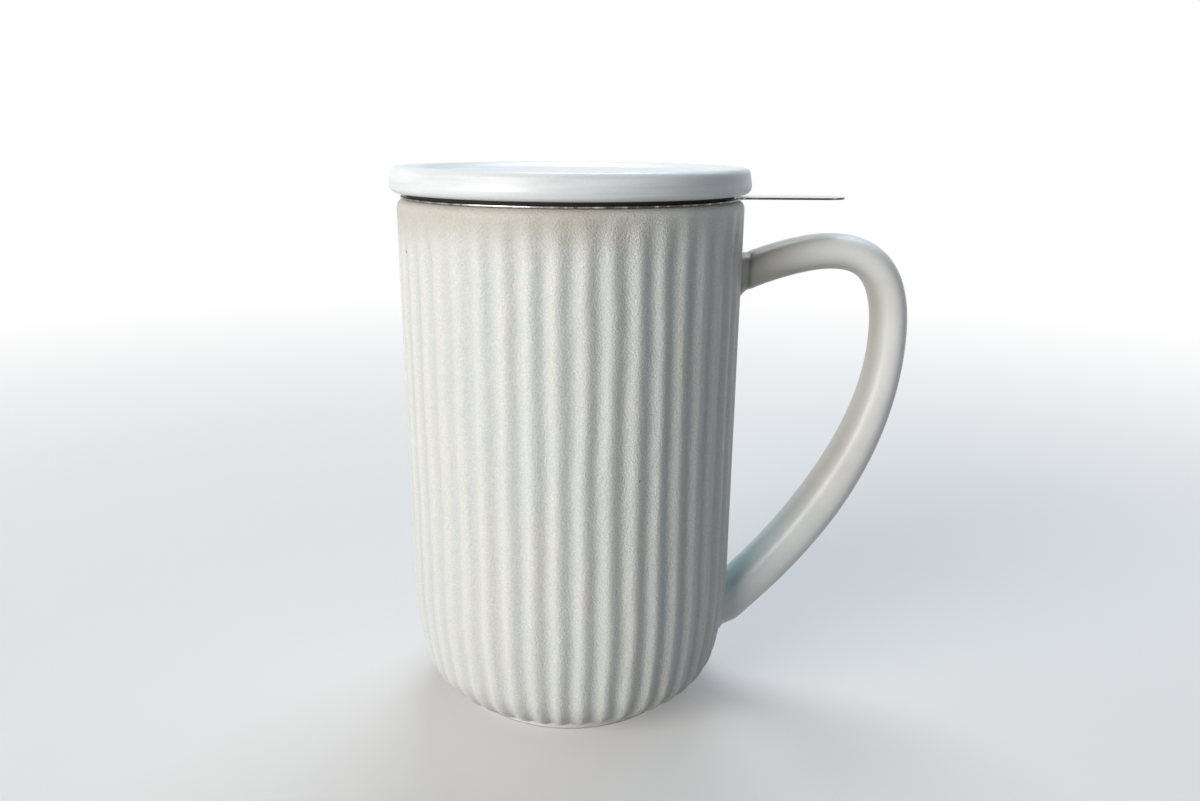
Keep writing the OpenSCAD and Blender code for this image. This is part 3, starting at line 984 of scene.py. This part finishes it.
def holeTile(s, width, height):
    # one perforation in a square of sheet, whose corners and side middles meet the next tiles'
    square = [(1, 0), (1, 1), (0, 1), (-1, 1), (-1, 0), (-1, -1), (0, -1), (1, -1)]
    turns = [math.pi / 4 * k for k in range(8)]
    points, faces = [], []
    for depth in (0, -s["sheet"]):
        points += [(x * width / 2, depth, z * height / 2) for x, z in square]
        points += [(s["hole"] / 2 * math.cos(a), depth, s["hole"] / 2 * math.sin(a)) for a in turns]
    for k in range(8):
        n = (k + 1) % 8
        faces.append((k, n, 8 + n, 8 + k))
        faces.append((16 + n, 16 + k, 24 + k, 24 + n))
        faces.append((8 + k, 8 + n, 24 + n, 24 + k))
    return newPiece("holeTile", points, faces)


def buildInfuserWall(s, material):
    around, bevel = s["holesRound"], s["bevel"]
    outer, inner = s["basketRadius"], s["basketRadius"] - s["sheet"]
    foot, end = s["basketFoot"], s["collarEnd"]
    pitch = 2 * math.pi * outer / around
    rowPitch = pitch * math.sqrt(3) / 2
    corner = (outer - s["cornerRadius"], foot + s["cornerRadius"])
    lip = corner[0] - s["lipWidth"]
    upper = end - s["plainAbove"]
    lower = upper - s["holeRows"] * rowPitch
    # plain bands: the seam under the collar, and the corner with the lip that carries the base
    above = [(outer, upper), (outer, end - bevel), (outer - bevel, end),
             (inner + bevel, end), (inner, end - bevel), (inner, upper)]
    below = [(inner, lower), (inner, corner[1])]
    below += arcRun(corner, s["cornerRadius"] - s["sheet"], 0, 90, 7)[1:]
    below += [(lip + bevel, foot + s["sheet"]), (lip, foot + s["sheet"] - bevel),
              (lip, foot + bevel), (lip + bevel, foot)]
    below += arcRun(corner, s["cornerRadius"], 90, 0, 7) + [(outer, lower)]
    points, faces = [], []
    for path in (above, below):
        bandPoints, bandFaces = closedRings([circle(x, z, 2 * around) for x, z in path])
        faces += [tuple(i + len(points) for i in face) for face in bandFaces]
        points += bandPoints
    piece = newPiece("infuserWall", points, faces)
    tile = holeTile(s, pitch, rowPitch)

    inputs = {
        "Tile": ("Object", tile),
        "Holes Round": ("Int", around),
        "Rows": ("Int", s["holeRows"]),
        "Pitch": ("Float", pitch * mm),
        "Row Pitch": ("Float", rowPitch * mm),
        "Radius": ("Float", outer * mm),
        "Foot": ("Float", lower * mm),
        "Material": ("Material", material),
    }
    tree, given = newTree("perforatedTube", inputs)
    grid, column, row = gridCells(tree, given["Holes Round"], given["Rows"])
    # every second row is shifted by half a hole
    shifted = calc(tree, "MULTIPLY_ADD", calc(tree, "MODULO", row, 2.0), 0.5, column)
    place = joinXYZ(tree, times(tree, shifted, given["Pitch"]),
                    z=calc(tree, "MULTIPLY_ADD", plus(tree, row, 0.5), given["Row Pitch"], given["Foot"]))
    source = addNode(tree, "GeometryNodeObjectInfo", {"Object": given["Tile"]})
    flat = realCopies(tree, setPosition(tree, grid, place), source.outputs["Geometry"])
    # the flat field of holes is rolled to a tube
    along, depth, height = splitXYZ(tree, addNode(tree, "GeometryNodeInputPosition").outputs[0])
    angle = calc(tree, "DIVIDE", along, given["Radius"])
    rolled = aroundAxis(tree, plus(tree, depth, given["Radius"]), angle, height)
    both = addNode(tree, "GeometryNodeJoinGeometry")
    tree.links.new(setPosition(tree, flat, rolled), both.inputs[0])
    tree.links.new(given["Geometry"], both.inputs[0])
    endTree(tree, mergeNear(tree, both.outputs[0], 0.00001), given["Material"])
    bakeTree(piece, tree, inputs)
    bpy.data.objects.remove(tile)
    faceOutward(piece)
    finishMesh(piece, 40)
    placePiece(piece, "infuser", "infuser_wall")


def buildInfuserBase(s, material):
    radius = s["basketRadius"] - s["cornerRadius"] - s["baseGap"]
    bottom = s["basketFoot"] + s["sheet"]
    top = bottom + s["sheet"]
    disc = softPath([(0, bottom, 0), (radius, bottom, s["baseRound"]),
                     (radius, top, s["baseRound"]), (0, top, 0)], 3)
    piece = lathe("infuserBase", disc, s["baseAround"])

    inputs = {
        "Pitch": ("Float", s["baseHolePitch"] * mm),
        "Hole": ("Float", s["hole"] * mm),
        "Reach": ("Float", (radius - s["lipWidth"] - s["hole"]) * mm),
        "Height": ("Float", (bottom + s["sheet"] / 2) * mm),
        "Material": ("Material", material),
    }
    tree, given = newTree("perforatedDisc", inputs)
    count = s["baseGrid"]
    grid, column, row = gridCells(tree, count, count)
    column = minus(tree, column, (count - 1) / 2)
    row = minus(tree, row, (count - 1) / 2)
    odd = calc(tree, "ABSOLUTE", calc(tree, "MODULO", row, 2.0))
    x = times(tree, calc(tree, "MULTIPLY_ADD", odd, 0.5, column), given["Pitch"])
    y = times(tree, times(tree, row, math.sqrt(3) / 2), given["Pitch"])
    spots = setPosition(tree, grid, joinXYZ(tree, x, y, given["Height"]))
    # the holes keep clear of the lip that carries the disc
    reach = calc(tree, "SQRT", plus(tree, times(tree, x, x), times(tree, y, y)))
    beyond = calc(tree, "GREATER_THAN", reach, given["Reach"])
    kept = addNode(tree, "GeometryNodeDeleteGeometry", {"Geometry": spots, "Selection": beyond})
    punch = addNode(tree, "GeometryNodeMeshCylinder",
                    {"Vertices": 8, "Radius": times(tree, given["Hole"], 0.5), "Depth": s["punchDepth"] * mm})
    punches = realCopies(tree, kept.outputs[0], punch.outputs["Mesh"])
    cut = addNode(tree, "GeometryNodeMeshBoolean", {0: given["Geometry"], 1: punches},
                  operation="DIFFERENCE", solver="EXACT")
    endTree(tree, cut.outputs[0], given["Material"])
    bakeTree(piece, tree, inputs)
    finishMesh(piece, 30)
    placePiece(piece, "infuser", "infuser_base")


print("infuser")
buildInfuserRim(infuserSizes, rimSteel)
buildInfuserWall(infuserSizes, basketSteel)
buildInfuserBase(infuserSizes, basketSteel)


# lid

lidSizes = {
    "seat": infuserSizes["seat"] + infuserSizes["sheet"],
    "radius": 42.5,
    "height": 6.7,
    "edgeHeight": 2.8,
    "edgeRound": 1.0,
    "lean": 0.6,
    "topRound": 1.55,
    "border": 6.0,
    "recess": 1.2,
    "recessSlope": (0.55, 2.1),  # outside and inside the border's inner edge
    "recessRound": 1.9,
    "seatRadius": 38.3,
    "seatRound": 0.3,
    "undercut": (0.9, 0.75, 0.5),  # outside the seat, above it, and rounding
    "skirt": (0.25, 0.95, 1.6),  # inside the edge, above the seat, and rounding
    "ringDrop": 5.0,
    "ringRadius": infuserSizes["basketRadius"] - infuserSizes["sheet"] - 0.6,  # 0.6 clear of the collar
    "ringWidth": 3.4,
    "ringRound": 0.8,
    "hollow": 1.0,
    "hollowRound": 0.7,
    "around": 220,
}


def buildLid(s, material):
    seat, crest = s["seat"], s["seat"] + s["height"]
    ringIn, ringLow = s["ringRadius"] - s["ringWidth"], seat - s["ringDrop"]
    corner = s["radius"] - s["lean"]
    border = corner - s["border"]
    underX, underZ, underRound = s["undercut"]
    skirtX, skirtZ, skirtRound = s["skirt"]
    slopeOut, slopeIn = s["recessSlope"]
    path = softPath([
        (0, seat + s["hollow"], 0),
        (ringIn, seat + s["hollow"], s["hollowRound"]),
        (ringIn, ringLow, s["ringRound"]),
        (s["ringRadius"], ringLow, s["ringRound"]),
        (s["ringRadius"], seat, s["seatRound"]),
        (s["seatRadius"], seat, s["seatRound"]),
        (s["seatRadius"] + underX, seat + underZ, underRound),
        (s["radius"] - skirtX, seat + skirtZ, skirtRound),
        (s["radius"], seat + s["edgeHeight"], s["edgeRound"]),
        (corner, crest, s["topRound"]),
        (border + slopeOut, crest, s["recessRound"]),
        (border - slopeIn, crest - s["recess"], s["recessRound"]),
        (0, crest - s["recess"], 0),
    ], 8)
    piece = lathe("lidDisc", spread(path, 5), s["around"])
    piece.data.materials.append(material)
    finishMesh(piece, 60)
    placePiece(piece, "lid", "lid")


print("lid")
buildLid(lidSizes, lidGlaze)


# floor, world and lamps

studio = {
    "floorReach": 6000,  # mm
    "floorColour": (0.88, 0.86, 0.84, 1),
    "floorRoughness": 0.7,
    "floorSpecular": 0.2,
    "grainScale": 40,
    "grainShade": 0.985,
    "bounceColour": (0.29, 0.29, 0.295, 1),  # how the floor lights the object from below
    "bounceNear": (0.32, 0.32, 0.32, 1),  # the same where the mug stands
    "near": (0.03, 0.13),  # m from the object, where one turns into the other
    "fade": (0.12, 0.7),  # m from the object, where the floor turns into the backdrop
    "floorGlow": 0.2,  # share of backdrop white that the floor shows to the camera everywhere
    "ambient": (0.80, 0.90, 1.0, 1),
    "ambientStrength": 0.14,
    "backdrop": (1, 1, 1, 1),
    "lamps": [
        # name, place (m), size (m), power (W), colour
        ("keyLeft", (-0.94, -0.91, 0.40), 1.0, 18.2, (1.0, 0.985, 0.955)),
        ("topSoft", (0.05, 0.45, 0.85), 0.5, 4.2, (0.86, 0.94, 1.0)),
        ("window", (0.46, 0.50, 0.76), 0.32, 0.9, (0.38, 0.68, 1.0)),
        ("fillRight", (0.55, -1.05, 0.30), 0.9, 0.5, (0.86, 0.94, 1.0)),
    ],
    "aim": (0.01, 0.0, 0.07),
}


def seenDirectly(tree):
    # 1 for what the camera sees straight, mirrored or through something
    path = addNode(tree, "ShaderNodeLightPath").outputs
    seen = calc(tree, "MAXIMUM", path["Is Camera Ray"], path["Is Glossy Ray"])
    return calc(tree, "MAXIMUM", seen, path["Is Transmission Ray"])


def buildStudio(s):
    reach = s["floorReach"]
    corners = [(-reach, -reach, 0), (reach, -reach, 0), (reach, reach, 0), (-reach, reach, 0)]
    floor = newPiece("studioFloor", corners, [(0, 1, 2, 3)])
    material, tree, surface = newMaterial("paleFloor")
    place = addNode(tree, "ShaderNodeTexCoord").outputs["Object"]
    darker = tuple(c * s["grainShade"] for c in s["floorColour"][:3]) + (1,)
    shade = mixColour(tree, noise(tree, place, s["grainScale"], 4), s["floorColour"], darker)
    seen = seenDirectly(tree)
    away = vectorLength(tree, place)
    bounce = mixColour(tree, mapRange(tree, away, *s["near"]), s["bounceNear"], s["bounceColour"])
    feed(tree, surface, {"Base Color": mixColour(tree, seen, bounce, shade),
                         "Roughness": s["floorRoughness"], "Specular IOR Level": s["floorSpecular"]})

    # far from the object the floor turns into the white backdrop
    fade = mapRange(tree, away, *s["fade"], s["floorGlow"], kind="SMOOTHSTEP")
    white = addNode(tree, "ShaderNodeEmission", {"Color": s["backdrop"]})
    mix = addNode(tree, "ShaderNodeMixShader",
                  {0: times(tree, fade, seen), 1: surface.outputs[0], 2: white.outputs[0]})
    feed(tree, tree.nodes["Material Output"], {"Surface": mix.outputs[0]})
    floor.data.materials.append(material)

    world = bpy.data.worlds.new("studioWorld")
    bpy.context.scene.world = world
    world.use_nodes = True
    tree = world.node_tree
    tree.nodes.clear()
    soft = addNode(tree, "ShaderNodeBackground", {"Color": s["ambient"], "Strength": s["ambientStrength"]})
    white = addNode(tree, "ShaderNodeBackground", {"Color": s["backdrop"]})
    mix = addNode(tree, "ShaderNodeMixShader",
                  {0: seenDirectly(tree), 1: soft.outputs[0], 2: white.outputs[0]})
    addNode(tree, "ShaderNodeOutputWorld", {"Surface": mix.outputs[0]})

    for name, place, size, power, colour in s["lamps"]:
        data = bpy.data.lights.new(name, "AREA")
        data.shape, data.size = "DISK", size
        data.energy, data.color = power, colour
        lamp = addObject(name, data)
        lamp.location = place
        lamp.rotation_euler = (Vector(s["aim"]) - Vector(place)).to_track_quat("-Z", "Y").to_euler()
    bpy.context.scene.view_settings.view_transform = "Standard"


print("studio")
buildStudio(studio)

bpy.context.view_layer.update()
